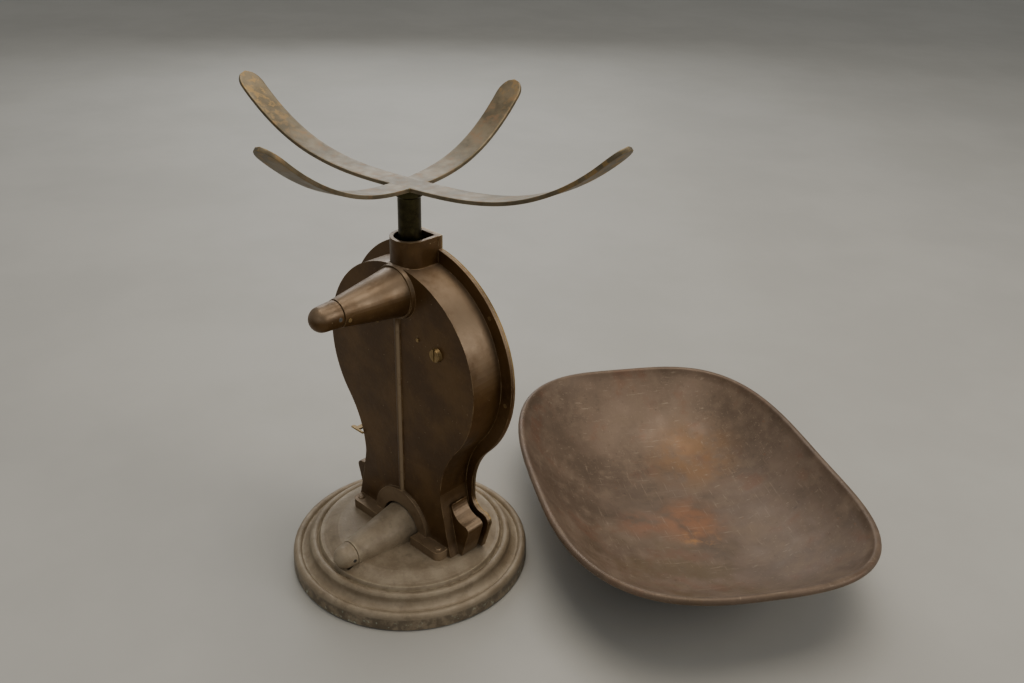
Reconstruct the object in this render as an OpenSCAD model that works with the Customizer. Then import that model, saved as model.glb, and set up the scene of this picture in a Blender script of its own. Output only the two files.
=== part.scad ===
// Counter spring balance: a round stepped foot, a keyhole-shaped cast housing
// with a dial on its front, a four-armed pan rest on a plunger, and a loose
// oblong pan that stands beside it.  Millimetres.
//
// Frame: +Z is up, the dial faces -Y, and the origin is the centre of the
// foot on the surface that the balance stands on.

/* [Foot] */
// Radius of the foot at the surface
foot_r = 101.5; // [90:0.5:125]
// Height of the foot's flat top, where the housing stands
foot_h = 29; // [26:0.5:36]
// Height of the straight edge around the foot
foot_edge_h = 12; // [8:0.5:14]
// Thickness of the foot casting
foot_wall = 7; // [5:0.5:9]
// Radius of the screws and studs that hold the housing down
foot_screw_r = 2.2; // [1.6:0.1:2.6]

/* [Housing] */
// Radius of the housing's round head, at its rear face
head_r = 84.6; // [78:0.2:104]
// Height of the dial's centre above the surface
dial_z = 190; // [180:1:230]
// Half width of the neck at its narrowest
neck_w = 47; // [40:0.5:57]
// Height of the narrowest part of the neck
neck_z = 84; // [78:1:92]
// Rear face of the housing, along Y
rear_y = 8; // [4:0.5:14]
// Depth of the housing, from its rear face to its front flange
housing_d = 29.4; // [27:0.2:38]
// Wall of the housing casting
wall = 4; // [3:0.5:5]
// How far the front flange stands out around the head
flange_out = 10.8; // [8:0.2:14]
// How far the front flange stands out at the neck
neck_flange_out = 7; // [4:0.5:9]
// Thickness of the flange
flange_t = 2.6; // [2:0.2:4]
// Height of the collar's top above the dial's centre
collar_rise = 105; // [100:1:130]

/* [Cones] */
// Radius of each link cone at the housing's rear face
cone_root_r = 20.5; // [19.5:0.5:24.5]
// Radius of each link cone at its cap
cone_end_r = 11; // [10:0.5:13]
// Distance from the plunger's axis to each cap's seam
cone_reach = 72; // [66:1:86]
// Height of the upper cone's axis above the dial's centre
upper_cone_rise = 63.5; // [60:0.5:70]
// Height of the lower cone's axis above the surface
lower_cone_z = 33; // [32:0.5:38]
// Length of the upper cone's rounded cap
upper_cap_l = 23; // [18:1:28]
// Length of the lower cone's rounded cap
lower_cap_l = 16; // [15:1:20]

/* [Front] */
// Thickness of the brass face plate
plate_t = 1.6; // [1.2:0.2:2.4]
// Radius of the dial
dial_r = 80; // [70:0.5:82]
// Thickness of the dial
dial_t = 1; // [0.6:0.1:1.6]
// Width of the ring around the dial
bezel_w = 6; // [4:0.5:8]
// Height of the ring above the face plate
bezel_h = 3.6; // [2:0.2:4.4]

/* [Plunger] */
// Radius of the plunger rod
rod_r = 8.8; // [7:0.2:9.6]
// How far the plunger sinks under full load
travel = 22; // [15:1:24]
// How much of the rod shows above the collar with no load
rod_show = 31; // [29:0.5:40]
// Side of the square draw bar
bar_w = 6; // [5:0.5:7]

/* [Movement] */
// Teeth on the pinion
pinion_teeth = 16; // [14:1:20]
// Pitch of the pinion and the rack, as a gear module
gear_module = 0.5; // [0.5:0.05:0.6]
// Radius of the pointer's arbor
arbor_r = 1.2; // [1:0.1:1.6]
// Clearance all round a pivot or bearing
run_gap = 0.06; // [0.03:0.01:0.1]

/* [Springs] */
// Distance of each spring from the middle
spring_x = 44.9; // [40:0.5:50]
// Height of the spring studs above the dial's centre
stud_rise = 25.6; // [20:0.2:34]
// Height of the crossbar above the surface, with no load
crossbar_z = 146; // [144:1:154]
// Coil radius of a spring, to the middle of its wire
coil_r = 7; // [5.5:0.5:7.5]
// Wire of a spring
wire_d = 2.2; // [1.6:0.2:2.4]
// Turns in a spring
turns = 17; // [12:1:18]

/* [Pan rest] */
// Reach of each long arm, along X
long_arm = 193; // [160:1:210]
// Reach of each short arm, along Y
short_arm = 142; // [120:1:160]
// Width of an arm
arm_w = 21.3; // [18:0.5:25]
// Thickness of an arm
arm_t = 3; // [2:0.2:4]
// Rise of the long arms' tips above the middle
long_rise = 59; // [40:1:70]
// Rise of the short arms' tips above the middle
short_rise = 55; // [40:1:66]
// Angle between the long arms and the X axis
long_turn = 2.4; // [0:0.2:4]
// Angle between the short arms and the Y axis
short_turn = 10.2; // [0:0.2:12]
// How far the long arms lean, in degrees
long_lean = 2.8; // [0:0.1:3]
// How far the short arms lean, in degrees
short_lean = 1.5; // [0:0.1:2]

/* [Pan] */
// Half length of the pan
pan_a = 182.5; // [160:0.5:222]
// Half width of the pan
pan_b = 132.5; // [112:0.5:162]
// Depth of the pan
pan_depth = 50; // [42:1:62]
// How much higher the pan's ends stand
end_sheer = 15; // [0:0.5:18]
// How much higher the pan's sides stand
side_sheer = 5.8; // [0:0.2:8]
// Thickness of the sheet
pan_t = 1.6; // [1.2:0.1:2.4]
// Radius of the rolled edge
pan_edge_r = 2.4; // [2:0.1:3]
// Pan's place along X
pan_x = -147; // [-240:1:-140]
// Pan's place along Y
pan_y = -196; // [-300:1:-190]
// Pan's turn about the vertical
pan_turn = 145; // [140:0.2:150]
// How far the pan rocks endways on its round bottom
pan_rock = 2.4; // [0:0.1:4]
// How far the pan can be lifted
pan_lift = 120; // [60:5:140]

/* [Hidden] */
$fn = 96;
SMALL = 0.01;
skirt_out = 12.4;

// Plunger, front faces and heights that follow from the sizes above
plunger_y = rear_y - 15;
flange_back_y = rear_y - housing_d;
plate_back_y = flange_back_y - flange_t;
plate_front_y = plate_back_y - plate_t;
dial_front_y = plate_front_y - dial_t;
collar_r = 15.5;
collar_z = dial_z + collar_rise;
upper_cone_z = dial_z + upper_cone_rise;
cap_seam_y = plunger_y + cone_reach;
stud_z = dial_z + stud_rise;
flank_r = flank_radius(head_r, neck_w);
flange_r = head_r + flange_out;
flange_neck = neck_w + neck_flange_out;

// Check links: each swings evenly either side of level over the travel
pivot_y = cap_seam_y + 4;
link_l = pivot_y - plunger_y;
link_rest = atan(travel / 2 / link_l);
pin_r = 1.5;
link_h = 6;
link_t = 2.4;
link_gap = bar_w / 2 + 0.6;
eye_r = 4.2;
slot_play = 0.9;

// Rod and pan rest
rod_top = collar_z + rod_show;
hub_h = 7.5;
hub_r = rod_r + 1.8;
rest_z = rod_top + hub_h + arm_t / 2;
rod_foot = upper_cone_z + travel / 2 + eye_r + 1;
bar_foot = lower_cone_z + travel / 2 - 6;
bar_socket = 12;

// Movement
pinion_pitch_r = pinion_teeth * gear_module / 2;
tooth_pitch = PI * gear_module;
pinion_front_y = plate_back_y + 3;
pinion_w = 4.5;
bridge_t = 1.6;
bridge_gap = 1.4;
bridge_front_y = pinion_front_y + pinion_w + bridge_gap;
rack_w = 5;
rack_back_x = pinion_pitch_r + gear_module * 1.25 + 4.4;

// Springs
stud_r = 3;
groove_r = 2.4;
loop_r = groove_r + wire_d / 2 + 0.3;
crossbar_t = 4;
crossbar_h = 8;

// Pan
PAN_STEPS = 80;
PAN_RINGS = 10;
EDGE_SIDES = 8;
bowl_power = 3.2;

// Node names

// ---------------------------------------------------------------- helpers

// Radius of the hollow flank that runs tangent from a round head to a neck
function flank_radius(head, neck) =
    (neck * neck + pow(dial_z - neck_z, 2) - head * head) / (2 * (head - neck));

function arc(cx, cz, r, from, to, n) =
    [for (i = [0:n])
        [cx + r * cos(from + (to - from) * i / n), cz + r * sin(from + (to - from) * i / n)]];

function power_sign(v, p) = sign(v) * pow(abs(v), p);

// An X-Z outline made solid from one Y to a lower Y
module slab(back_y, front_y) {
    translate([0, back_y, 0])
        rotate([90, 0, 0])
            linear_extrude(back_y - front_y)
                children();
}

// A round bar or cone along +Y
module along_y(x, z, from, to, r1, r2) {
    translate([x, from, z])
        rotate([-90, 0, 0])
            cylinder(h = to - from, r1 = r1, r2 = r2);
}

// A round bar along +X
module along_x(y, z, from, to, r) {
    translate([from, y, z])
        rotate([0, 90, 0])
            cylinder(h = to - from, r = r);
}

module block(low, high) {
    translate(low)
        cube(high - low);
}

module both_sides() {
    children();
    mirror([1, 0, 0])
        children();
}

// Round head, hollow flanks and a skirt that widens to the foot, seen along Y
module keyhole(head, neck, low) {
    flank = flank_radius(head, neck);
    tangent_x = head * (neck + flank) / (head + flank);
    skirt = [for (t = [0:0.125:1])
        [neck + skirt_out * pow(t, 1.15), neck_z + 2 - (neck_z + 2 - low) * t]];
    translate([0, dial_z])
        circle(r = head, $fn = 180);
    difference() {
        translate([-tangent_x, neck_z])
            square([2 * tangent_x, dial_z - neck_z]);
        both_sides()
            translate([neck + flank, neck_z])
                circle(r = flank, $fn = 180);
    }
    polygon(concat(skirt, [for (k = [len(skirt) - 1:-1:0]) [-skirt[k][0], skirt[k][1]]]));
}

// Foot of the front flange: a short scroll that stands out at each side, with a
// smaller swelling of the same shape in the side wall behind it
toe_reach = flange_neck + 12;
toe_top = foot_h + 34.5;
toe_inset = 2.6;
toe_gap = 3.6;
toe_back_y = rear_y - 9;
function toe_half(inner, inset) = concat(
    arc(flange_neck + 12, toe_top + 12, 12 + inset, 180, 270, 10),
    arc(toe_reach, toe_top - 7.5, 7.5 - inset, 90, -10, 8),
    [[toe_reach - inset, foot_h], [inner, foot_h]]);

// Half of the flange's outline, from the tab that closes the collar's open front,
// round the head and down the neck to the foot
function flange_half() =
    let (flank = flank_radius(flange_r, flange_neck),
         cx = flange_neck + flank,
         low = atan2(dial_z - neck_z, cx),
         tab = collar_r + 0.5)
    concat(
        [[0, collar_z], [tab, collar_z]],
        arc(0, dial_z, flange_r, acos(tab / flange_r), -low, 60),
        arc(cx, neck_z, flank, 180 - low, 180, 16),
        toe_half(0, 0));

module flange_outline() {
    half = flange_half();
    polygon(concat(half, [for (i = [len(half) - 2:-1:1]) [-half[i][0], half[i][1]]]));
}

module collar_plan(r) {
    translate([0, plunger_y])
        circle(r = r);
    translate([-r, plate_back_y])
        square([2 * r, plunger_y - plate_back_y]);
}

function cone_r(y) =
    cone_root_r + (cone_end_r - cone_root_r) * (y - rear_y) / (cap_seam_y - rear_y);

cone_wall = 3;

arch_r = 32;
rib_r = 3.4;
rib_rise = 2.4;

// Places of the face plate's screws
screw_ring_r = head_r + flange_out / 2;
plate_screws = [
    [screw_ring_r * cos(38), dial_z + screw_ring_r * sin(38)],
    [screw_ring_r * cos(-8), dial_z + screw_ring_r * sin(-8)],
    [toe_reach - 4, foot_h + 20]
];
dial_screw_r = 48;
front_screw_r = 2.6;
rear_screw_x = 50;
rear_screw_y = rear_y + 5.5;
front_screw_x = toe_reach - 6.5;
front_screw_y = plunger_y - 9;
rear_toe_h = 8;
rear_toe_d = 11.5;
zero_z = neck_z + 20;
zero_y = rear_y - wall - 6;
zero_r = 2;
rear_pin_x = 23.6;
rear_pin_z = dial_z + 30.3;

// ---------------------------------------------------------------- foot

module foot_outline() {
    e = foot_edge_h;
    cove_x = foot_r - 7.8;
    cove_z = e + 0.6;
    ring_x = foot_r - 14.6;
    ring_z = foot_h - 10.5;
    polygon(concat(
        [[0, 0], [foot_r - 0.8, 0], [foot_r, 1], [foot_r - 0.4, e - 1]],
        arc(foot_r - 4.2, e - 0.4, 3.6, 0, 170, 10),
        [for (i = [0:8])
            [cove_x - (cove_x - ring_x) * sin(i * 90 / 8),
             cove_z + (ring_z - cove_z) * (1 - cos(i * 90 / 8))]],
        arc(ring_x - 3.8, ring_z + 0.8, 3.8, 20, 165, 8),
        [[foot_r - 23, foot_h - 6.4], [foot_r - 24, foot_h - 4.6]],
        [for (i = [0:6])
            [foot_r - 24 - i * 3, foot_h - 4.6 * (1 + cos(i * 30)) / 2]],
        [[0, foot_h]]));
}

module foot_hollow() {
    polygon([
        [0, -1],
        [foot_r - foot_wall - 1, -1],
        [foot_r - foot_wall - 1, foot_edge_h - foot_wall],
        [foot_r - 17, foot_edge_h - 1],
        [foot_r - 28, foot_h - foot_wall - 5],
        [foot_r - 42, foot_h - foot_wall],
        [0, foot_h - foot_wall]
    ]);
}

module base_casting() {
    color("#6b6259")
    difference() {
        rotate_extrude($fn = 180)
            foot_outline();
        rotate_extrude($fn = 180)
            foot_hollow();
        // Slots for the lower link and the end of the draw bar
        block([-link_gap - link_t - 2, plunger_y - bar_w / 2 - 4, -1],
              [link_gap + link_t + 2, rear_y + 30, foot_h + 1]);
        block([-link_gap - link_t - 1.4, rear_y + 29, foot_h - 6],
              [link_gap + link_t + 1.4, pivot_y + eye_r + 1, foot_h + 1]);
        foot_screw_bores();
    }
}

// The lower link's cone, saddled onto the foot
module lower_cone() {
    color("#6b6259")
    difference() {
        along_y(0, lower_cone_z, rear_y - wall, cap_seam_y, cone_r(rear_y - wall), cone_end_r);
        along_y(0, lower_cone_z, rear_y - wall - 1, cap_seam_y + 1,
                cone_root_r - cone_wall - 2.5, cone_end_r - cone_wall);
        rotate_extrude($fn = 180)
            foot_outline();
    }
}

module foot_screw_bores() {
    both_sides() {
        translate([rear_screw_x, rear_screw_y, foot_h - foot_wall - 6])
            cylinder(h = foot_wall + 6 + SMALL, r = foot_screw_r);
        translate([front_screw_x, front_screw_y, 0])
            cylinder(h = foot_h + SMALL, r = foot_screw_r);
    }
}

// A cap that closes the end of a cone, with its bore and its pivot's hole
module cone_cap(z, length) {
    tip_r = cone_end_r - 1.2;
    difference() {
        translate([0, cap_seam_y, z])
            rotate([-90, 0, 0])
                rotate_extrude()
                    polygon(concat(
                        [[0, 0], [cone_end_r - 0.9, 0], [cone_end_r - 0.4, 0.9]],
                        arc(0, length - tip_r, tip_r, 0, 90, 12)));
        along_y(0, z, cap_seam_y - 1, pivot_y + eye_r + 1.5, cone_end_r - cone_wall,
                cone_end_r - cone_wall);
        along_x(pivot_y, z, -cone_end_r - 1, cone_end_r + 1, pin_r);
    }
}

module upper_cone_cap() {
    color("#5c4430")
        cone_cap(upper_cone_z, upper_cap_l);
}

module lower_cone_cap() {
    color("#6b6259")
    difference() {
        cone_cap(lower_cone_z, lower_cap_l);
        rotate_extrude($fn = 180)
            foot_outline();
    }
}

cap_screw_y = cap_seam_y - 3.2;
cap_screw_r = 1.5;
module cone_cap_screws() {
    color("#a08a5c")
        both_sides()
            for (z = [upper_cone_z - 2.2])
                along_x(cap_screw_y, z, cone_r(cap_screw_y) - cone_wall + 0.5,
                        cone_r(cap_screw_y) + 0.6, cap_screw_r);
}

// Two small screws hold the rear toes from above, and two studs the front toes from below
module foot_screws() {
    top_z = foot_h + rear_toe_h;
    color("#4a4038")
        both_sides() {
            translate([rear_screw_x, rear_screw_y, foot_h - foot_wall - 4])
                cylinder(h = top_z - foot_h + foot_wall + 4, r = foot_screw_r);
            translate([rear_screw_x, rear_screw_y, top_z])
                cylinder(h = 1, r1 = foot_screw_r + 0.6, r2 = foot_screw_r);
            translate([front_screw_x, front_screw_y, foot_h - 10])
                cylinder(h = 22, r = foot_screw_r);
        }
}

// ---------------------------------------------------------------- housing

module housing_outside() {
    slab(rear_y, flange_back_y)
        keyhole(head_r, neck_w, foot_h);
    slab(flange_back_y, plate_back_y)
        flange_outline();
    // Swellings of the side walls behind the scrolls
    both_sides()
        slab(toe_back_y, flange_back_y + toe_gap)
            polygon(toe_half(neck_w - 2 * wall, toe_inset));
    // Collar
    translate([0, 0, dial_z + head_r - 20])
        linear_extrude(collar_rise - head_r + 20)
            collar_plan(collar_r);
    // Upper cone and its root ring
    along_y(0, upper_cone_z, rear_y - wall, cap_seam_y, cone_r(rear_y - wall), cone_end_r);
    along_y(0, upper_cone_z, rear_y - wall, rear_y + 3, cone_root_r + 3, cone_root_r + 0.8);
    // Rib down the middle of the rear face
    translate([0, rear_y - rib_r + rib_rise, lower_cone_z + 28])
        cylinder(h = upper_cone_z - lower_cone_z - 40, r = rib_r);
    // Raised arch over the lower cone
    slab(rear_y + 3, rear_y - 1)
        polygon(arc(0, foot_h + 8, arch_r, -asin(8 / arch_r), 180 + asin(8 / arch_r), 48));
    // Rear toes
    both_sides() {
        block([22, rear_y - 2, foot_h], [50, rear_y + rear_toe_d, foot_h + rear_toe_h]);
        block([50, rear_y - 2, foot_h],
              [50 + rear_toe_d / 2, rear_y + rear_toe_d / 2, foot_h + rear_toe_h]);
        translate([50, rear_y + rear_toe_d / 2, foot_h])
            cylinder(h = rear_toe_h, r = rear_toe_d / 2);
    }
}

module rear_housing() {
    color("#4b3a2b")
    difference() {
        housing_outside();
        // Inside of the case
        slab(rear_y - wall, plate_back_y - 1)
            keyhole(head_r - wall, neck_w - wall, foot_h - 3);
        // Bore of the upper cone
        along_y(0, upper_cone_z, rear_y - wall - 1, cap_seam_y + 1,
                cone_r(rear_y) - cone_wall, cone_r(cap_seam_y) - cone_wall);
        // Well of the collar
        translate([0, 0, dial_z + 60])
            linear_extrude(collar_rise)
                intersection() {
                    collar_plan(collar_r - 3);
                    translate([-collar_r, flange_back_y])
                        square([2 * collar_r, 3 * collar_r]);
                }
        // Arch over the lower cone
        slab(rear_y + 4, rear_y - wall - 1) {
            translate([0, lower_cone_z])
                circle(r = cone_root_r + 1.6);
            translate([-cone_root_r - 1.6, foot_h - 1])
                square([2 * cone_root_r + 3.2, lower_cone_z - foot_h + 1]);
        }
        // Holes for studs, pins and screws
        both_sides() {
            along_y(spring_x, stud_z, rear_y - wall - 1, rear_y + 1, stud_r, stud_r);
            along_y(rear_pin_x, rear_pin_z, rear_y - wall - 1, rear_y + 1, 1.5, 1.5);
            translate([rear_screw_x, rear_screw_y, foot_h - 1])
                cylinder(h = rear_toe_h + 2, r = 2.4);
            translate([front_screw_x, front_screw_y, foot_h - 1])
                cylinder(h = 14, r = 2.4);
            for (p = plate_screws)
                along_y(p[0], p[1], plate_back_y - 1, flange_back_y + 4, 1.6, 1.6);
            along_x(cap_screw_y, upper_cone_z - 2.2, 0, cone_end_r + 4, cap_screw_r);
        }
        along_x(zero_y, zero_z, neck_w - 3 * wall, wing_x + 3, zero_r + run_gap);
    }
}

module spring_studs() {
    color("#8a7448")
    both_sides()
    difference() {
        union() {
            along_y(spring_x, stud_z, plunger_y + 2.5, rear_y, stud_r, stud_r);
            along_y(spring_x, stud_z, plunger_y - 2.5, plunger_y + 2.5, groove_r, groove_r);
            along_y(spring_x, stud_z, plunger_y - 4.5, plunger_y - 2.5, stud_r, stud_r);
            along_y(spring_x, stud_z, rear_y, rear_y + 3, 6, 5);
        }
        block([spring_x - 0.8, rear_y + 1.6, stud_z - 7], [spring_x + 0.8, rear_y + 4, stud_z + 7]);
    }
}

module rear_pins() {
    color("#8a7448")
        both_sides()
            along_y(rear_pin_x, rear_pin_z, rear_y - wall - 2, rear_y + 0.8, 1.5, 1.5);
}

module pivot_pin(z) {
    half = cone_end_r - 0.6;
    along_x(pivot_y, z, -half, half, pin_r);
}

module upper_pivot_pin() {
    color("#b8bcc0")
        pivot_pin(upper_cone_z);
}

module lower_pivot_pin() {
    color("#b8bcc0")
        pivot_pin(lower_cone_z);
}

// ---------------------------------------------------------------- front

module face_plate() {
    color("#b28a45")
    difference() {
        slab(plate_back_y, plate_front_y)
            flange_outline();
        along_y(0, dial_z, plate_front_y - 1, plate_back_y + 1, bush_r, bush_r);
        both_sides()
            for (p = plate_screws)
                along_y(p[0], p[1], plate_front_y - 1, plate_back_y + 1, 1.6, 1.6);
    }
}

bush_r = arbor_r + 2.6;
module arbor_bush() {
    color("#c79a4b")
    difference() {
        along_y(0, dial_z, plate_front_y, plate_back_y + 1.6, bush_r, bush_r);
        along_y(0, dial_z, plate_front_y - 1, plate_back_y + 3, arbor_r + run_gap,
                arbor_r + run_gap);
    }
}

module dial_plate() {
    color("#c9a55c")
    difference() {
        along_y(0, dial_z, dial_front_y, plate_front_y, dial_r, dial_r);
        along_y(0, dial_z, dial_front_y - 1, plate_front_y + 1, arbor_r + 1, arbor_r + 1);
        for (s = [-1, 1])
            along_y(0, dial_z + s * dial_screw_r, dial_front_y - 1, plate_front_y + 1, 1.2, 1.2);
    }
}

module dial_bezel() {
    color("#b28a45")
    translate([0, plate_front_y, dial_z])
        rotate([90, 0, 0])
            rotate_extrude($fn = 180)
                polygon(concat(
                    [[dial_r + 0.2, 0], [dial_r + bezel_w, 0]],
                    arc(dial_r + bezel_w - bezel_h, 0, bezel_h, 20, 100, 8),
                    [[dial_r + 0.2, dial_t + 0.6]]));
}

// A tapered screw head on a front face, with a driver's slot
module slotted_head(x, z, face_y, height, r) {
    difference() {
        along_y(x, z, face_y - height, face_y, r - 0.6, r);
        block([x - r - 1, face_y - height - 1, z - 0.3], [x + r + 1, face_y - height * 0.4, z + 0.3]);
    }
}

module face_plate_screws() {
    color("#8a7448")
        both_sides()
            for (p = plate_screws) {
                along_y(p[0], p[1], plate_front_y, plate_back_y + flange_t, 1.6, 1.6);
                slotted_head(p[0], p[1], plate_front_y, 1.4, front_screw_r);
            }
}

module dial_screws() {
    color("#8a7448")
        for (s = [-1, 1]) {
            along_y(0, dial_z + s * dial_screw_r, dial_front_y, plate_front_y, 1.2, 1.2);
            slotted_head(0, dial_z + s * dial_screw_r, dial_front_y, 0.9, 2.2);
        }
}

// ---------------------------------------------------------------- movement

pillar_x = -18;
pillar_rise = 12;

module movement_pillars() {
    color("#c79a4b")
        for (s = [-1, 1])
            along_y(pillar_x, dial_z + s * pillar_rise, plate_back_y, bridge_front_y, 2.6, 2.6);
}

module movement_bridge() {
    color("#c79a4b")
    difference() {
        slab(bridge_front_y + bridge_t, bridge_front_y) {
            translate([pillar_x - 5, dial_z - pillar_rise - 5])
                square([10, 2 * pillar_rise + 10]);
            translate([pillar_x, dial_z - 3.4])
                square([-pillar_x, 6.8]);
            translate([0, dial_z])
                circle(r = 3.4);
        }
        along_y(0, dial_z, bridge_front_y - 1, bridge_front_y + bridge_t + 1,
                arbor_r + run_gap, arbor_r + run_gap);
    }
}

module bridge_screws() {
    color("#8a8d90")
        for (s = [-1, 1])
            along_y(pillar_x, dial_z + s * pillar_rise, bridge_front_y + bridge_t,
                    bridge_front_y + bridge_t + 1.4, 2.6, 2.2);
}

module pointer_arbor() {
    color("#b8bcc0")
    difference() {
        along_y(0, dial_z, pointer_y - 2.6, bridge_front_y + bridge_t + 0.4, arbor_r, arbor_r);
    }
}

// A gear's outline: straight-flanked teeth, thinned for free running
module pinion_outline() {
    tip = pinion_pitch_r + 0.9 * gear_module;
    root = pinion_pitch_r - 1.25 * gear_module;
    step = 360 / pinion_teeth;
    polygon([for (i = [0:pinion_teeth - 1])
        for (p = [[root, -0.32], [tip, -0.09], [tip, 0.09], [root, 0.32]])
            [p[0] * cos((i + 0.5 + p[1]) * step), p[0] * sin((i + 0.5 + p[1]) * step)]]);
}

module pinion() {
    color("#c79a4b")
    difference() {
        translate([0, pinion_front_y + pinion_w, dial_z])
            rotate([90, 0, 0])
                linear_extrude(pinion_w)
                    pinion_outline();
        along_y(0, dial_z, pinion_front_y - 1, pinion_front_y + pinion_w + 1, arbor_r, arbor_r);
    }
}

pointer_y = dial_front_y - 2;
pointer_t = 0.8;
pointer_l = dial_r - 14;
module pointer() {
    color("#26303c")
    difference() {
        slab(pointer_y, pointer_y - pointer_t)
            translate([0, dial_z]) {
                circle(r = 5);
                polygon([[-3.4, -20], [3.4, -20], [2, 0], [1.1, pointer_l * 0.72], [0, pointer_l],
                         [-1.1, pointer_l * 0.72], [-2, 0]]);
            }
        along_y(0, dial_z, pointer_y - 2, pointer_y + 1, arbor_r, arbor_r);
    }
}

module pointer_hub() {
    color("#c79a4b")
    difference() {
        along_y(0, dial_z, pointer_y - pointer_t - 2.2, pointer_y - pointer_t, 2.6, 3.6);
        along_y(0, dial_z, pointer_y - 5, pointer_y + 3, arbor_r, arbor_r);
    }
}

// ---------------------------------------------------------------- plunger

module plunger_rod() {
    color("#57502f")
    difference() {
        union() {
            translate([0, plunger_y, rod_foot])
                cylinder(h = rod_top - rod_foot, r = rod_r);
            translate([0, plunger_y, rod_top])
                cylinder(h = 1.6, r1 = rod_r, r2 = hub_r);
            translate([0, plunger_y, rod_top + 1.6])
                cylinder(h = hub_h - 1.6, r = hub_r);
        }
        block([-bar_w / 2, plunger_y - bar_w / 2, rod_foot - 1],
              [bar_w / 2, plunger_y + bar_w / 2, rod_foot + bar_socket]);
    }
}

module draw_bar() {
    color("#8a8d90")
    difference() {
        block([-bar_w / 2, plunger_y - bar_w / 2, bar_foot],
              [bar_w / 2, plunger_y + bar_w / 2, rod_foot + bar_socket]);
        for (z = [lower_cone_z, upper_cone_z])
            along_x(plunger_y, z + travel / 2, -bar_w, bar_w, pin_r);
    }
}

module draw_pin(z) {
    half = link_gap + link_t + 0.6;
    along_x(plunger_y, z + travel / 2, -half, half, pin_r);
}

module upper_draw_pin() {
    color("#b8bcc0")
        draw_pin(upper_cone_z);
}

module lower_draw_pin() {
    color("#b8bcc0")
        draw_pin(lower_cone_z);
}

// Height of an arm's middle above its hub, at a distance from the middle
function arm_height(r, reach, rise, power) = rise * pow(abs(r) / reach, power);

ARM_STEPS = 48;
// A strip bent up at both ends, with round tips
module arm_pair(reach, rise, power) {
    r_at = [for (i = [0:ARM_STEPS]) reach * (2 * i / ARM_STEPS - 1)];
    slope = atan(rise * power / reach);
    difference() {
        translate([0, arm_w / 2, 0])
            rotate([90, 0, 0])
                linear_extrude(arm_w)
                    polygon(concat(
                        [for (r = r_at) [r, arm_height(r, reach, rise, power) - arm_t / 2]],
                        [for (i = [ARM_STEPS:-1:0])
                            [r_at[i], arm_height(r_at[i], reach, rise, power) + arm_t / 2]]));
        for (side = [0, 180])
            rotate([0, 0, side])
                translate([reach, 0, rise])
                    rotate([0, -slope, 0])
                        translate([-arm_w / 2, 0, 0])
                            difference() {
                                block([0, -arm_w, -arm_w], [arm_w, arm_w, arm_w]);
                                translate([0, 0, -arm_w - 1])
                                    cylinder(h = 2 * arm_w + 2, r = arm_w / 2);
                            }
    }
}

long_power = 3.1;
short_power = 2.5;
module pan_rest() {
    color("#8a7a4a")
        translate([0, plunger_y, rest_z])
            rotate([short_lean, long_lean, 0]) {
                rotate([0, 0, long_turn])
                    arm_pair(long_arm, long_rise, long_power);
                rotate([0, 0, 90 + short_turn])
                    arm_pair(short_arm, short_rise, short_power);
            }
}

// ---------------------------------------------------------------- rack

rack_low = dial_z - 6;
rack_high = dial_z + travel + 6;
rack_mid_y = pinion_front_y + pinion_w / 2;

// Rack teeth reach toward the pinion, with one centred on the dial's height
module rack() {
    tip_x = pinion_pitch_r - 0.9 * gear_module;
    root_x = pinion_pitch_r + 1.25 * gear_module;
    color("#8a8d90")
    slab(rack_mid_y + rack_w / 2, rack_mid_y - rack_w / 2)
        polygon(concat(
            [[rack_back_x, rack_high], [rack_back_x, rack_low], [root_x, rack_low]],
            [for (z = [dial_z - 3 * tooth_pitch : tooth_pitch : rack_high - 1])
                each [[root_x, z - 0.33 * tooth_pitch], [tip_x, z - 0.07 * tooth_pitch],
                      [tip_x, z + 0.07 * tooth_pitch], [root_x, z + 0.33 * tooth_pitch]]],
            [[root_x, rack_high]]));
}

module rack_bracket() {
    color("#8a8d90")
        for (z = [rack_low, rack_high - 6]) {
            block([bar_w / 2, plunger_y - bar_w / 2, z], [rack_back_x, plunger_y + 2, z + 6]);
            block([rack_back_x - 4, rack_mid_y + rack_w / 2, z],
                  [rack_back_x, plunger_y - bar_w / 2, z + 6]);
        }
}

// ---------------------------------------------------------------- springs

crossbar_back_y = plunger_y + bar_w / 2 + crossbar_t;
module spring_crossbar() {
    color("#8a8d90")
    difference() {
        slab(crossbar_back_y, plunger_y + bar_w / 2) {
            translate([-spring_x, crossbar_z - crossbar_h / 2])
                square([2 * spring_x, crossbar_h]);
            for (s = [-1, 1])
                translate([s * spring_x, crossbar_z])
                    circle(r = crossbar_h / 2);
        }
        both_sides()
            along_y(spring_x, crossbar_z, plunger_y, crossbar_back_y + 1, groove_r, groove_r);
        along_y(0, crossbar_z, plunger_y, crossbar_back_y + 1, 1.6, 1.6);
    }
}

module crossbar_pins() {
    color("#b8bcc0")
        both_sides() {
            along_y(spring_x, crossbar_z, plunger_y - 3, crossbar_back_y, groove_r, groove_r);
            along_y(spring_x, crossbar_z, plunger_y - 4.5, plunger_y - 3, stud_r, stud_r);
        }
}

module crossbar_screw() {
    color("#8a7448")
        along_y(0, crossbar_z, plunger_y + bar_w / 2, crossbar_back_y, 1.6, 1.6);
    color("#8a7448")
        along_y(0, crossbar_z, crossbar_back_y, crossbar_back_y + 1.6, 3, 2.6);
}

COIL_STEPS = 14;
WIRE_SIDES = 6;
low_loop_z = crossbar_z + 0.2;
high_loop_z = stud_z - 0.2;
coil_low = low_loop_z + loop_r;
coil_high = high_loop_z - loop_r;

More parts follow.
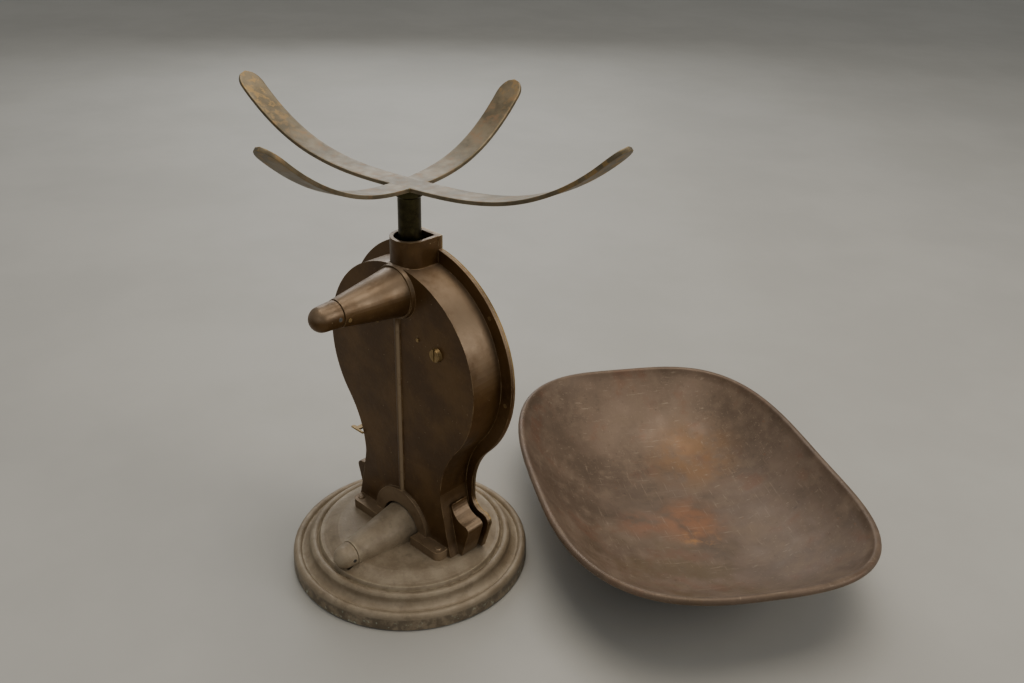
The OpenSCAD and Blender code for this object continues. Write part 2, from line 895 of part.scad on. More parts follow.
// Middle of the wire after a number of turns: it spirals out of one loop and into the other
function coil_point(t) =
    let (a = 360 * t - 90, r = coil_r * min(1, 2 * t, 2 * (turns - t)))
        [r * cos(a), r * sin(a), coil_low + (coil_high - coil_low) * t / turns];
function coil_ring(t) =
    let (d = coil_point(t + 0.01) - coil_point(t - 0.01),
         along = d / norm(d),
         side = [along[1], -along[0], 0] / norm([along[1], -along[0], 0]),
         up = cross(side, along))
        [for (k = [0:WIRE_SIDES - 1])
            let (b = 360 * k / WIRE_SIDES)
                coil_point(t) + wire_d / 2 * (cos(b) * side + sin(b) * up)];

// A close-wound coil with a round loop at each end
module spring() {
    n = turns * COIL_STEPS;
    points = [for (i = [0:n]) each coil_ring(i / COIL_STEPS)];
    w = WIRE_SIDES;
    sides = [for (i = [0:n - 1])
        for (k = [0:w - 1])
            [i * w + k, i * w + (k + 1) % w, (i + 1) * w + (k + 1) % w, (i + 1) * w + k]];
    start_cap = [[for (k = [w - 1:-1:0]) k]];
    end_cap = [[for (k = [0:w - 1]) n * w + k]];
    polyhedron(points, concat(sides, start_cap, end_cap));
    for (z = [low_loop_z, high_loop_z])
        translate([0, 0, z])
            rotate([90, 0, 0])
                rotate_extrude($fn = 32)
                    translate([loop_r, 0])
                        circle(d = wire_d, $fn = 16);
}

module left_spring() {
    color("#7c7f82")
        translate([spring_x, plunger_y, 0])
            spring();
}

module right_spring() {
    color("#7c7f82")
        translate([-spring_x, plunger_y, 0])
            spring();
}

// ---------------------------------------------------------------- links

// Side of a link in its own frame: pivot at the origin, draw pin at -X
module link_side() {
    difference() {
        union() {
            translate([-link_l, -link_h / 2])
                square([link_l, link_h]);
            circle(r = eye_r);
            translate([-link_l - slot_play / 2, 0])
                circle(r = eye_r);
        }
        circle(r = pin_r + run_gap);
        for (x = [-link_l - slot_play, -link_l])
            translate([x, 0])
                circle(r = pin_r + 0.15);
        translate([-link_l - slot_play, -pin_r - 0.15])
            square([slot_play, 2 * pin_r + 0.3]);
    }
}

// Two flat sides joined by a spacer, lifted to their place at no load
module link(z) {
    translate([0, pivot_y, z])
        rotate([-link_rest, 0, 0])
            union() {
                for (x = [-link_gap - link_t, link_gap])
                    translate([x, 0, 0])
                        rotate([90, 0, 90])
                            linear_extrude(link_t)
                                link_side();
                block([-link_gap, -link_l * 0.7, -link_h / 2], [link_gap, -eye_r - 2, link_h / 2]);
            }
}

module upper_link() {
    color("#8a8d90")
        link(upper_cone_z);
}

module lower_link() {
    color("#8a8d90")
        link(lower_cone_z);
}

// ---------------------------------------------------------------- zero screw

wing_x = neck_w + flank_r + 0.5 - sqrt(pow(flank_r, 2) - pow(zero_z + 7 - neck_z, 2));

// Shaft through the neck, with a hooked lever that reaches round behind the rear face
module zero_screw() {
    color("#8f8568")
        union() {
            along_x(zero_y, zero_z, neck_w - 3 * wall, wing_x, zero_r);
            along_x(zero_y, zero_z, wing_x, wing_x + 2.4, 3.2);
            translate([wing_x + 2.4, rear_y, zero_z - 0.8])
                linear_extrude(1.6)
                    polygon([
                        [-SMALL, zero_y - rear_y - 3], [3, zero_y - rear_y - 3],
                        [4.5, zero_y - rear_y], [4.5, -1], [8, 0], [8.5, 2.6],
                        [-6, 2.6], [-7, 1], [0.5, 1], [-SMALL, -1]
                    ]);
        }
}

module zero_cam() {
    color("#c79a4b")
    difference() {
        along_x(zero_y - 1, zero_z, neck_w - 3 * wall + 1, neck_w - 2 * wall, 4);
        along_x(zero_y, zero_z, neck_w - 3 * wall - 1, neck_w - wall, zero_r);
    }
}

// ---------------------------------------------------------------- pan

function bowl_height(s) = pan_depth * pow(s, bowl_power);
function bowl_point(s, step, lift) =
    let (a = 360 * step / PAN_STEPS, p = 2 / (2 + 1.1 * s),
         u = s * power_sign(cos(a), p), v = s * power_sign(sin(a), p),
         sheer = (end_sheer * u * u + side_sheer * v * v) * pow(s, 2))
        [pan_a * u, pan_b * v, bowl_height(s) + sheer + lift];

// A rounded oblong bowl of even sheet
module bowl() {
    n = PAN_STEPS;
    m = PAN_RINGS;
    sheet = [for (lift = [0, pan_t])
        concat([[0, 0, lift]],
               [for (i = [1:m]) for (k = [0:n - 1]) bowl_point(i / m, k, lift)])];
    count = 1 + m * n;
    fan = [for (k = [0:n - 1]) [0, 1 + k, 1 + (k + 1) % n]];
    rings = [for (i = [0:m - 2]) for (k = [0:n - 1])
        let (a = 1 + i * n + k, b = 1 + i * n + (k + 1) % n)
            each [[a, a + n, b + n], [a, b + n, b]]];
    under = concat(fan, rings);
    over = [for (f = under) [for (v = [2:-1:0]) f[v] + count]];
    rim = [for (k = [0:n - 1])
        let (a = 1 + (m - 1) * n + k, b = 1 + (m - 1) * n + (k + 1) % n)
            each [[a, a + count, b + count], [a, b + count, b]]];
    polyhedron(concat(sheet[0], sheet[1]), concat(under, over, rim));
}

// The edge rolled over all round the rim
module bowl_edge() {
    n = PAN_STEPS;
    w = EDGE_SIDES;
    points = [for (k = [0:n - 1])
        let (c = bowl_point(1, k, 0),
             t = bowl_point(1, (k + 1) % n, 0) - bowl_point(1, (k + n - 1) % n, 0),
             out = [t[1], -t[0], 0] / norm(t))
            for (j = [0:w - 1])
                c + pan_edge_r * (cos(360 * j / w) * out + sin(360 * j / w) * [0, 0, 1])];
    faces = [for (k = [0:n - 1]) for (j = [0:w - 1])
        let (a = k * w + j, b = k * w + (j + 1) % w,
             c = (k + 1) % n * w + j, d = (k + 1) % n * w + (j + 1) % w)
            each [[a, b, d], [a, d, c]]];
    polyhedron(points, faces);
}

// Lowest point of the rocked bowl along its length
rock_low = min([for (i = [0:60])
    (bowl_height(i / 60) + end_sheer * pow(i / 60, 4)) * cos(pan_rock)
        - pan_a * i / 60 * sin(pan_rock)]);

module pan() {
    color("#7a5a45")
        translate([pan_x, pan_y, -rock_low])
            rotate([0, 0, pan_turn])
                rotate([0, -pan_rock, 0])
                    union() {
                        bowl();
                        bowl_edge();
                    }
}

// ---------------------------------------------------------------- drawing

base_casting();
lower_cone();
rear_housing();
face_plate();
dial_plate();
dial_bezel();
upper_cone_cap();
lower_cone_cap();
cone_cap_screws();
foot_screws();
face_plate_screws();
dial_screws();
spring_studs();
rear_pins();
upper_pivot_pin();
lower_pivot_pin();
movement_bridge();
movement_pillars();
bridge_screws();
arbor_bush();
left_spring();
right_spring();
plunger_rod();
pan_rest();
draw_bar();
rack();
rack_bracket();
spring_crossbar();
crossbar_pins();
crossbar_screw();
upper_draw_pin();
lower_draw_pin();
pointer_arbor();
pinion();
pointer();
pointer_hub();
upper_link();
lower_link();
zero_screw();
zero_cam();
pan();
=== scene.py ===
# Counter spring balance with its loose pan, seen from behind as it stands on a table.
# The CAD nodes carry the shape; the pan, the pan rest and the dial's engraving are made here.
import bpy
import math
from mathutils import Matrix, Vector, noise


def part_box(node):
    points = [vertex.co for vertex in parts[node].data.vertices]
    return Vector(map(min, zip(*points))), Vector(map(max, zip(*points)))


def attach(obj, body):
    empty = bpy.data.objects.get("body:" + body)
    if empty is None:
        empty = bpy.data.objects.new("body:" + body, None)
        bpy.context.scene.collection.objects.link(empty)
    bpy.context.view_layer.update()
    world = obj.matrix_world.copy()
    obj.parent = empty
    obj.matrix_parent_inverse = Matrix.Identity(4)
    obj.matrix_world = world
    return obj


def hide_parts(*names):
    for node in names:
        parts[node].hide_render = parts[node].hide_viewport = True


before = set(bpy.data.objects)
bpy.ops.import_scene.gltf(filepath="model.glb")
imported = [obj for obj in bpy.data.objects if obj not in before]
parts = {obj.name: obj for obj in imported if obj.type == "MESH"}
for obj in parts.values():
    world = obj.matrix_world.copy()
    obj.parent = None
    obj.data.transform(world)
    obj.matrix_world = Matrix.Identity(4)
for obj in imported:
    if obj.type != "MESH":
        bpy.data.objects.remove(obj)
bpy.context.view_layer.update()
MM = 0.001

# ---- Foot ------------------------------------------------------------------
# A round stepped iron casting, lacquered brown long ago.  The lacquer has gone
# dull; it is rubbed pale on the crests of the rings and chipped on the edge.


def paint(hex_code):
    """An sRGB hex colour as linear RGBA."""
    channels = [int(hex_code[i:i + 2], 16) / 255 for i in (0, 2, 4)]
    return tuple(c / 12.92 if c <= 0.04045 else ((c + 0.055) / 1.055) ** 2.4
                 for c in channels) + (1.0,)


def add(tree, kind, links=None, **settings):
    """Add one node; links maps its inputs to values or to other nodes' outputs."""
    made = tree.nodes.new(kind)
    for name, value in settings.items():
        setattr(made, name, value)
    for socket, value in (links or {}).items():
        if isinstance(value, bpy.types.NodeSocket):
            tree.links.new(value, made.inputs[socket])
        else:
            made.inputs[socket].default_value = value
    return made


# How near a rounded normal stays to the true one, on the flat and on a sharp edge
FLAT, SHARP = 0.995, 0.80
EDGE_SAMPLES = 6
CLOUD_DETAIL, GRIT_DETAIL = 5.0, 3.0
COAT_ROUGH = 0.3
# The Mix node's inputs when it mixes colours: under, over
UNDER, OVER = 6, 7


def aged(name, ground, layers, gloss, metal, skin, coat=0.0, edge_mm=0.5, centre=(0, 0, 0),
         turn=0.0):
    """A finish: a ground colour with clouds, rubs, chips and some painted light laid over it
    one by one.

    A layer is (colour, lump, contrast from, to, cover, limits).  Its lump is in mm,
    or (mm, x, y, z) to squeeze it by those shares along the axes.
    A limit is ("edge", mm), ("at Z", from, to), ("facing Z", from, to) or
    (point, from, to), with the point in mm and every other place in metres.
    gloss is (rough, rougher, lump mm) and skin is (lump mm, depth mm).
    centre, in mm, and turn, in degrees, lay the patterns along the piece.
    """
    finish = bpy.data.materials.new(name)
    finish.use_nodes = True
    tree = finish.node_tree
    tree.nodes.clear()
    place = add(tree, "ShaderNodeTexCoord").outputs["Object"]
    laid = add(tree, "ShaderNodeMapping", {
        "Vector": place, "Location": [v * MM for v in centre],
        "Rotation": (0, 0, math.radians(turn))}, vector_type="TEXTURE").outputs[0]
    facing = add(tree, "ShaderNodeNewGeometry").outputs["True Normal"]
    axes = {"facing": add(tree, "ShaderNodeSeparateXYZ", {"Vector": facing}),
            "at": add(tree, "ShaderNodeSeparateXYZ", {"Vector": place})}
    tone = paint(ground)
    for colour, lump, start, end, cover, *limits in layers:
        stretch = (1, 1, 1)
        if isinstance(lump, tuple):
            lump, stretch = lump[0], lump[1:]
        spread = add(tree, "ShaderNodeMapping", {"Vector": laid, "Scale": stretch})
        lumps = add(tree, "ShaderNodeTexNoise", {
            "Vector": spread.outputs[0], "Scale": 1 / (lump * MM),
            "Detail": CLOUD_DETAIL, "Roughness": 0.62})
        mask = add(tree, "ShaderNodeMapRange", {
            "Value": lumps.outputs[0], "From Min": start, "From Max": end,
            "To Max": cover}, interpolation_type="SMOOTHSTEP").outputs[0]
        for what, *span in limits:
            if what == "edge":
                # 1 on a sharp outer edge, where a rounded normal leaves the true one
                rounded = add(tree, "ShaderNodeBevel", {"Radius": span[0] * MM},
                              samples=EDGE_SAMPLES)
                value = add(tree, "ShaderNodeVectorMath", {0: rounded.outputs[0], 1: facing},
                            operation="DOT_PRODUCT").outputs["Value"]
                span = (FLAT, SHARP)
            elif isinstance(what, str):
                source, axis = what.split()
                value = axes[source].outputs[axis]
            else:
                value = add(tree, "ShaderNodeVectorMath", {
                    0: laid, 1: [v * MM for v in what]}, operation="DISTANCE").outputs["Value"]
            near = add(tree, "ShaderNodeMapRange", {
                "Value": value, "From Min": span[0], "From Max": span[1]},
                interpolation_type="SMOOTHSTEP")
            mask = add(tree, "ShaderNodeMath", {0: mask, 1: near.outputs[0]},
                       operation="MULTIPLY").outputs[0]
        tone = add(tree, "ShaderNodeMix", {0: mask, UNDER: tone, OVER: paint(colour)},
                   data_type="RGBA").outputs[2]
    sheen = add(tree, "ShaderNodeTexNoise", {
        "Vector": laid, "Scale": 1 / (gloss[2] * MM), "Detail": CLOUD_DETAIL})
    rough = add(tree, "ShaderNodeMapRange", {
        "Value": sheen.outputs[0], "From Min": 0.3, "From Max": 0.7,
        "To Min": gloss[0], "To Max": gloss[1]})
    grit = add(tree, "ShaderNodeTexNoise", {
        "Vector": laid, "Scale": 1 / (skin[0] * MM), "Detail": GRIT_DETAIL})
    soft = add(tree, "ShaderNodeBevel", {"Radius": edge_mm * MM}, samples=EDGE_SAMPLES)
    bump = add(tree, "ShaderNodeBump", {
        "Height": grit.outputs[0], "Distance": skin[1] * MM, "Normal": soft.outputs[0]})
    shader = add(tree, "ShaderNodeBsdfPrincipled", {
        "Base Color": tone, "Roughness": rough.outputs[0], "Metallic": metal,
        "Normal": bump.outputs[0], "Coat Weight": coat, "Coat Roughness": COAT_ROUGH})
    add(tree, "ShaderNodeOutputMaterial", {"Surface": shader.outputs[0]})
    return finish


def dress(finish, *names):
    """Give CAD nodes a finish, in place of any they have."""
    for name in names:
        parts[name].data.materials.clear()
        parts[name].data.materials.append(finish)


# Aged bronze lacquer on cast iron: dull and chalky, darker towards the bottom, pale
# where hands and cloths rub, with sand-cast lumps drawn about 2 mm wide to show
foot_lacquer = aged(
    "aged_bronze_lacquer_on_iron", "83745f",
    [("988a75", 24, 0.38, 0.66, 1.0),
     ("a7997f", 3.2, 0.50, 0.76, 0.45),
     ("695b49", 9, 0.54, 0.74, 0.5),
     ("c2b397", 7, 0.34, 0.56, 0.75, ("edge", 3.4)),
     # Darker towards the bottom of the foot, below about 12 mm
     ("54493a", 6, 0.36, 0.60, 0.75, ("at Z", 0.0125, 0.0095)),
     ("a9b09c", 4.5, 0.60, 0.66, 0.85, ("at Z", 0.0105, 0.0065)),
     ("9c6a4a", 5, 0.72, 0.76, 0.7)],
    gloss=(0.44, 0.66, 3.2), metal=0.22, skin=(1.8, 0.12), coat=0.1, edge_mm=0.9)
dress(foot_lacquer, "base_casting", "lower_cone", "lower_cone_cap")

# ---- Housing ---------------------------------------------------------------
# The keyhole-shaped back of the case, one iron casting with a dark bronze
# lacquer.  Its edges and the rim of the collar are rubbed to the metal.

# Bronze lacquer on cast iron: warm brown reflections, painted light on what faces up
# and on one side of the rib, lighter round the bottom arch and low down, and rubs along the
# edges
housing_lacquer = aged(
    "dark_bronze_lacquer_on_iron", "4a3214",
    [("604522", 45, 0.36, 0.66, 1.0),
     ("745838", 6, 0.52, 0.80, 0.45),
     # Painted light: faces that point up are made lighter, as if lit from above
     ("8f7b64", 40, 0.24, 0.58, 0.8, ("facing Z", -0.02, 0.5)),
     # Lighter round the bottom arch, and in the next layer lighter low down on the casting
     ("86725a", 20, 0.22, 0.52, 0.75, ((0, 12, 33), 0.039, 0.031)),
     ("86725a", 20, 0.22, 0.52, 0.75, ("at Z", 0.043, 0.034)),
     # Painted highlight: the side of the rib that faces -X, below the cone, is made paler
     ("9c886e", 12, 0.18, 0.46, 0.85, ("at Y", 0.0084, 0.0092), ("facing X", 0.25, -0.55),
      ("at Z", 0.232, 0.222)),
     ("a58c68", 9, 0.40, 0.56, 0.7, ("edge", 1.2)),
     ("c9b48f", 2.4, 0.70, 0.74, 0.6)],
    gloss=(0.36, 0.50, 6), metal=0.58, skin=(2.6, 0.10), coat=0.10, edge_mm=0.8)
dress(housing_lacquer, "rear_housing", "upper_cone_cap", "foot_screws")

# ---- Brass trim ------------------------------------------------------------
# Turned brass studs, pins and screws, pressed or screwed into the casting, and
# lacquered over with it, so that only their edges still show the metal.

# Dull turned brass: brown in the hollows, bright on its rims
screw_brass = aged(
    "turned_brass_dull", "7c6746",
    [("9c845b", 5, 0.36, 0.66, 1.0), ("d8b777", 4, 0.30, 0.50, 0.8, ("edge", 0.5))],
    gloss=(0.34, 0.5, 5), metal=0.85, skin=(1.2, 0.02), edge_mm=0.25)
dress(screw_brass, "cone_cap_screws", "face_plate_screws", "dial_screws", "spring_studs",
      "rear_pins", "crossbar_screw", "zero_screw")

# ---- Face plate and its ring -----------------------------------------------
# Rolled brass sheet, sawn to the flange's outline and brushed up and down.  It
# has browned evenly; the ring round the dial is spun brass and kept brighter.

# Browned sheet brass: upright brush lines, drawn about 1 mm wide so that they
# show, and a pale rubbed edge
plate_brass = aged(
    "rolled_brass_aged", "76592f",
    [("9c7d45", 40, 0.34, 0.68, 1.0),
     ("b39a68", (0.9, 1, 1, 0.06), 0.52, 0.80, 0.5),
     ("5a4527", 12, 0.56, 0.74, 0.5),
     ("8b8371", 8, 0.20, 0.44, 0.85, ("edge", 1.8)),
     ("cfc6b2", 5, 0.36, 0.54, 0.85, ("edge", 0.5))],
    gloss=(0.30, 0.44, 40), metal=0.9, skin=(0.9, 0.02), edge_mm=0.25)
dress(plate_brass, "face_plate")

# Spun brass: satin gold with soft brown clouds
bright_brass = aged(
    "spun_brass_polished", "a07a3a",
    [("c9a154", 25, 0.34, 0.66, 1.0), ("7a5c2c", 8, 0.56, 0.74, 0.5),
     ("ecd089", 6, 0.30, 0.50, 0.8, ("edge", 0.5))],
    gloss=(0.20, 0.34, 25), metal=0.95, skin=(1.2, 0.02), edge_mm=0.25)
dress(bright_brass, "dial_bezel", "pointer_hub", "arbor_bush", "pinion", "movement_bridge",
      "movement_pillars", "zero_cam")

# ---- Dial ------------------------------------------------------------------
# A brass disc, brushed across, with its scale cut in and filled with black wax.
# The figures run clockwise from nothing at the top, over seven eighths of a turn,
# one pound to each, and the strokes between them are ounces.

# Brushed brass under old varnish: level brush lines, drawn coarse enough to
# show, and faint brown clouds
dial_brass = aged(
    "brushed_dial_brass", "b18c48",
    [("cfae66", 55, 0.34, 0.66, 1.0),
     ("e0c586", (0.7, 0.05, 1, 1), 0.50, 0.80, 0.6),
     ("8d6c38", 14, 0.56, 0.76, 0.45)],
    gloss=(0.26, 0.38, 30), metal=0.92, skin=(0.7, 0.01), edge_mm=0.25)
dress(dial_brass, "dial_plate")

# Black wax: matt, rubbed thin and brown here and there
wax = aged("black_wax_filling", "14110d", [("3a3020", 2.5, 0.42, 0.75, 0.8)],
           gloss=(0.5, 0.62, 3), metal=0.0, skin=(2, 0.01), edge_mm=0.05)

dial_low, dial_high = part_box("dial_plate")
dial_r = (dial_high.x - dial_low.x) / 2
dial_z = (dial_low.z + dial_high.z) / 2
dial_face = dial_low.y
PROUD = 0.06 * MM
POUNDS, OUNCES = 14, 16
POUND_TURN = 22.5
# Radii as shares of the dial's, and widths in mm
SCALE_OUT, SCALE_IN = 0.955, 0.90
STROKES = (("pound", 0.80, 0.9), ("quarter", 0.855, 0.55), ("ounce", SCALE_IN, 0.32))
CUT_RINGS = ((SCALE_OUT, 0.5), (SCALE_IN, 0.35), (0.30, 0.5), (0.325, 0.3))
FIGURES_AT, FIGURE_H = 0.68, 11.5


def deselect_all():
    """Operators act on all that is selected, so nothing is left selected."""
    for thing in bpy.context.selected_objects:
        thing.select_set(False)


def pick(piece):
    """Select one object alone and make it active."""
    deselect_all()
    piece.select_set(True)
    bpy.context.view_layer.objects.active = piece


def settle(piece):
    """Apply the object's place to its mesh, so that it sits at the origin unturned."""
    pick(piece)
    bpy.ops.object.transform_apply(location=True, rotation=True, scale=True)


def join_all(pieces, name):
    """Make one named piece of several."""
    deselect_all()
    for piece in pieces:
        piece.select_set(True)
    bpy.context.view_layer.objects.active = pieces[0]
    bpy.ops.object.join()
    whole = bpy.context.object
    whole.name = name
    return whole


def wear(piece, finish, body, replaces=None):
    """Give a new piece its finish, hang it on the body it rides on, and hide the part it
    stands for.
    """
    piece.data.materials.clear()
    piece.data.materials.append(finish)
    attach(piece, body)
    if replaces:
        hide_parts(replaces)


# Three lengths of stroke, each a thin bar of wax with eased corners, modelled
# once upright at the top of the dial and copied round it
stroke_kinds = {}
for kind, inner, width in STROKES:
    deselect_all()
    bpy.ops.mesh.primitive_cube_add(
        size=1, location=(0, dial_face, dial_r * (inner + SCALE_OUT) / 2),
        scale=(width * MM, 2 * PROUD, dial_r * (SCALE_OUT - inner)))
    stroke = bpy.context.object
    settle(stroke)
    bpy.ops.object.mode_set(mode="EDIT")
    bpy.ops.mesh.select_all(action="SELECT")
    bpy.ops.mesh.bevel(offset=0.8 * PROUD, segments=1, affect="EDGES", clamp_overlap=True)
    bpy.ops.object.mode_set(mode="OBJECT")
    stroke_kinds[kind] = stroke
dial_marks = []
for count in range(POUNDS * OUNCES + 1):
    kind = "pound" if count % OUNCES == 0 else "quarter" if count % 4 == 0 else "ounce"
    mark = stroke_kinds[kind].copy()
    mark.data = stroke_kinds[kind].data.copy()
    bpy.context.scene.collection.objects.link(mark)
    # A turn about +Y carries the top of the dial clockwise as its reader sees it
    mark.data.transform(Matrix.Translation((0, 0, dial_z)) @ Matrix.Rotation(
        math.radians(POUND_TURN * count / OUNCES), 4, "Y"))
    dial_marks.append(mark)
for stroke in stroke_kinds.values():
    bpy.data.objects.remove(stroke)
# Rings cut round the scale and round the hub, a little flattened
for ring_r, width in CUT_RINGS:
    deselect_all()
    bpy.ops.mesh.primitive_torus_add(
        major_segments=128, minor_segments=6, major_radius=dial_r * ring_r,
        minor_radius=width / 2 * MM, location=(0, dial_face, dial_z),
        rotation=(math.pi / 2, 0, 0))
    bpy.context.object.scale = (1, 1, 2 * PROUD / (width * MM))
    settle(bpy.context.object)
    dial_marks.append(bpy.context.object)
for pound in range(POUNDS + 1):
    angle = math.radians(POUND_TURN * pound)
    deselect_all()
    bpy.ops.object.text_add(
        location=(FIGURES_AT * dial_r * math.sin(angle), dial_face,
                  dial_z + FIGURES_AT * dial_r * math.cos(angle)),
        rotation=(math.pi / 2, 0, 0))
    figure = bpy.context.object
    figure.data.body = str(pound)
    figure.data.size = FIGURE_H * MM
    figure.data.align_x = "CENTER"
    figure.data.align_y = "CENTER"
    figure.data.extrude = PROUD
    figure.data.resolution_u = 4
    bpy.ops.object.convert(target="MESH")
    settle(bpy.context.object)
    dial_marks.append(bpy.context.object)
dial_scale = join_all(dial_marks, "dial_scale")
wear(dial_scale, wax, "stand")

# ---- Steel work ------------------------------------------------------------
# Draw bar, rack, links, pins and springs are plain mild steel under a film of
# old oil; the pointer is spring steel, blued over a flame.

# Mild steel: grey and satin, with brown stains where the oil has dried
mild_steel = aged(
    "oiled_mild_steel", "5e5f5e",
    [("8d8f90", 10, 0.35, 0.70, 1.0), ("5b4a38", 6, 0.58, 0.74, 0.5)],
    gloss=(0.30, 0.46, 10), metal=0.95, skin=(1, 0.01), edge_mm=0.25)
dress(mild_steel, "upper_pivot_pin", "lower_pivot_pin", "bridge_screws", "draw_bar", "rack",
      "rack_bracket", "spring_crossbar", "crossbar_pins", "upper_draw_pin", "lower_draw_pin",
      "pointer_arbor", "upper_link", "lower_link")

# Spring steel: drawn wire, darker and smoother, without stains
spring_steel = aged(
    "oiled_spring_steel", "4c4d4c", [("77797a", 8, 0.35, 0.70, 1.0)],
    gloss=(0.28, 0.44, 8), metal=0.95, skin=(1, 0.01), edge_mm=0.1)
dress(spring_steel, "left_spring", "right_spring")

# Blued steel: a thin oxide that throws dark blue, paler where fingers set it
blued_steel = aged(
    "blued_spring_steel", "141b28", [("2b3a55", 10, 0.35, 0.70, 1.0)],
    gloss=(0.22, 0.36, 10), metal=0.95, skin=(1, 0.01), edge_mm=0.1)
dress(blued_steel, "pointer")

# ---- Plunger rod -----------------------------------------------------------
# A turned brass rod, pressed into the pan rest above it.  It is nearly black
# with age and oil where it slides in the collar.

# Blackened brass: olive black with turning marks round it, drawn coarse to show
rod_brass = aged(
    "turned_brass_blackened", "2a2517",
    [("454028", 9, 0.34, 0.68, 1.0), ("6f6640", (2, 1, 1, 4), 0.55, 0.85, 0.4),
     ("6f6640", 4, 0.30, 0.50, 0.7, ("edge", 0.5))],
    gloss=(0.30, 0.42, 9), metal=0.92, skin=(2, 0.02), edge_mm=0.25)
dress(rod_brass, "plunger_rod")

# ---- Pan rest --------------------------------------------------------------
# Two flat brass strips, crossed and fused at the hub and bent up at their ends.
# They are cut from sheet, with round tips and softened edges.  Sizes are in mm.
HUB = (0.0, -7.0, 335.0)
STRIP_W, STRIP_T, STRIP_EDGE = 21.3, 3.0, 0.7
STRIP_WAVE = 0.25
# Shares of a strip's columns that crowd toward its tips and that lie evenly
CROWDED, EVEN = 0.45, 0.55
LEAN_ENDWAYS, LEAN_SIDEWAYS = 2.8, 1.5


def bent_strip(name, reach, rise, power, turn):
    """A strip bent up by a power law and turned about the hub by turn degrees."""
    half = STRIP_W / 2
    deselect_all()
    bpy.ops.mesh.primitive_grid_add(x_subdivisions=112, y_subdivisions=8, size=2)
    strip = bpy.context.object
    strip.name = name
    for vertex in strip.data.vertices:
        # Close the columns up toward the tips, where the outline turns
        along = math.sin(vertex.co.x * math.pi / 2) * CROWDED + vertex.co.x * EVEN
        x = along * reach
        past = max(0.0, abs(x) - (reach - half))
        side = math.sqrt(max(half * half - past * past, 0.0))
        y = vertex.co.y * side
        lift = rise * (abs(x) / reach) ** power
        wave = STRIP_WAVE * noise.noise(Vector((x / 45, y / 30, turn)))
        vertex.co = (x * MM, y * MM, (lift + wave) * MM)
    bpy.ops.object.mode_set(mode="EDIT")
    bpy.ops.mesh.select_all(action="SELECT")
    # Close the tips, where a column has no width left
    bpy.ops.mesh.remove_doubles(threshold=0.05 * MM)
    bpy.ops.mesh.dissolve_degenerate(threshold=0.02 * MM)
    # With no window the turn runs the other way, so its sign is changed
    bpy.ops.transform.rotate(value=-math.radians(turn), orient_axis="Z",
                             center_override=(0, 0, 0))
    bpy.ops.object.mode_set(mode="OBJECT")
    return strip


def harden(piece, modifiers):
    """Add each modifier with its settings and apply it."""
    pick(piece)
    for kind, settings in modifiers:
        made = piece.modifiers.new(kind, kind)
        for key, value in settings.items():
            setattr(made, key, value)
        bpy.ops.object.modifier_apply(modifier=made.name)


STRIP_BUILD = [("SOLIDIFY", {"thickness": STRIP_T * MM, "offset": 0.0}),
               ("BEVEL", {"width": STRIP_EDGE * MM, "segments": 3, "limit_method": "ANGLE",
                          "angle_limit": math.radians(50)})]
long_strip = bent_strip("long_strip", reach=193, rise=59, power=3.1, turn=2.4)
short_strip = bent_strip("short_strip", reach=142, rise=55, power=2.5, turn=90 + 10.2)
for strip in (long_strip, short_strip):
    harden(strip, STRIP_BUILD)
arms = join_all([long_strip, short_strip], "pan_rest_arms")
lean = (Matrix.Rotation(math.radians(LEAN_ENDWAYS), 4, "Y")
        @ Matrix.Rotation(math.radians(LEAN_SIDEWAYS), 4, "X"))
arms.matrix_world = Matrix.Translation(Vector(HUB) * MM) @ lean
settle(arms)
bpy.ops.object.shade_smooth_by_angle(angle=math.radians(40))

# Tarnished sheet brass: grey olive with brown clouds, golden along the edges
# and a little at the tips, where the pan rubs it
rest_brass = aged(
    "tarnished_sheet_brass", "5f5643",
    [("7c705a", 26, 0.36, 0.64, 1.0),
     ("8c6c50", 7, 0.48, 0.72, 0.55),
     ("4c4534", 12, 0.54, 0.74, 0.5),
     ("a98c56", 7, 0.50, 0.60, 0.55, (HUB, 0.105, 0.185)),
     ("cdae6e", 5, 0.30, 0.52, 0.8, ("edge", 0.9))],
    gloss=(0.38, 0.54, 7), metal=0.62, skin=(3.5, 0.04), edge_mm=0.3)
wear(arms, rest_brass, "plunger", "pan_rest")
dress(rest_brass, "pan_rest")

# ---- Pan -------------------------------------------------------------------
# A shallow oblong pan, pressed from brass sheet, with its edge rolled over to
# the outside.  It is brown with handling, and worn to orange where goods lay.
# Half length, half width and depth, then what the ends and sides rise above that
PAN_A, PAN_B, PAN_DEPTH = 181.6, 131.6, 50.0
END_RISE, SIDE_RISE = 15.0, 5.8
# How square the rim's outline is, and how late the wall turns up
SQUARE, WALL_POWER = 1.1, 3.2
SHEET = 1.3
DENT, SMALL_DENT = 0.55, 0.22
PAN_AT, PAN_TURN, PAN_ROCK = (-147.0, -196.0, 0.0), 145.0, 2.4
# Rings from the rim to the middle, corners round it, and rings in the rolled edge
RINGS, AROUND, CURL = 34, 192, 7
ROLL, ROLL_TURN, CURL_STEP = 2.0, 210, 0.01


def bowl(s, angle):
    """A point inside the pan, in mm, at the share s of the way out to its rim."""
    power = 2 / (2 + SQUARE * s)
    u = s * math.copysign(abs(math.cos(angle)) ** power, math.cos(angle))
    v = s * math.copysign(abs(math.sin(angle)) ** power, math.sin(angle))
    height = PAN_DEPTH * s ** WALL_POWER + (END_RISE * u * u + SIDE_RISE * v * v) * s * s
    return Vector((PAN_A * u, PAN_B * v, height))


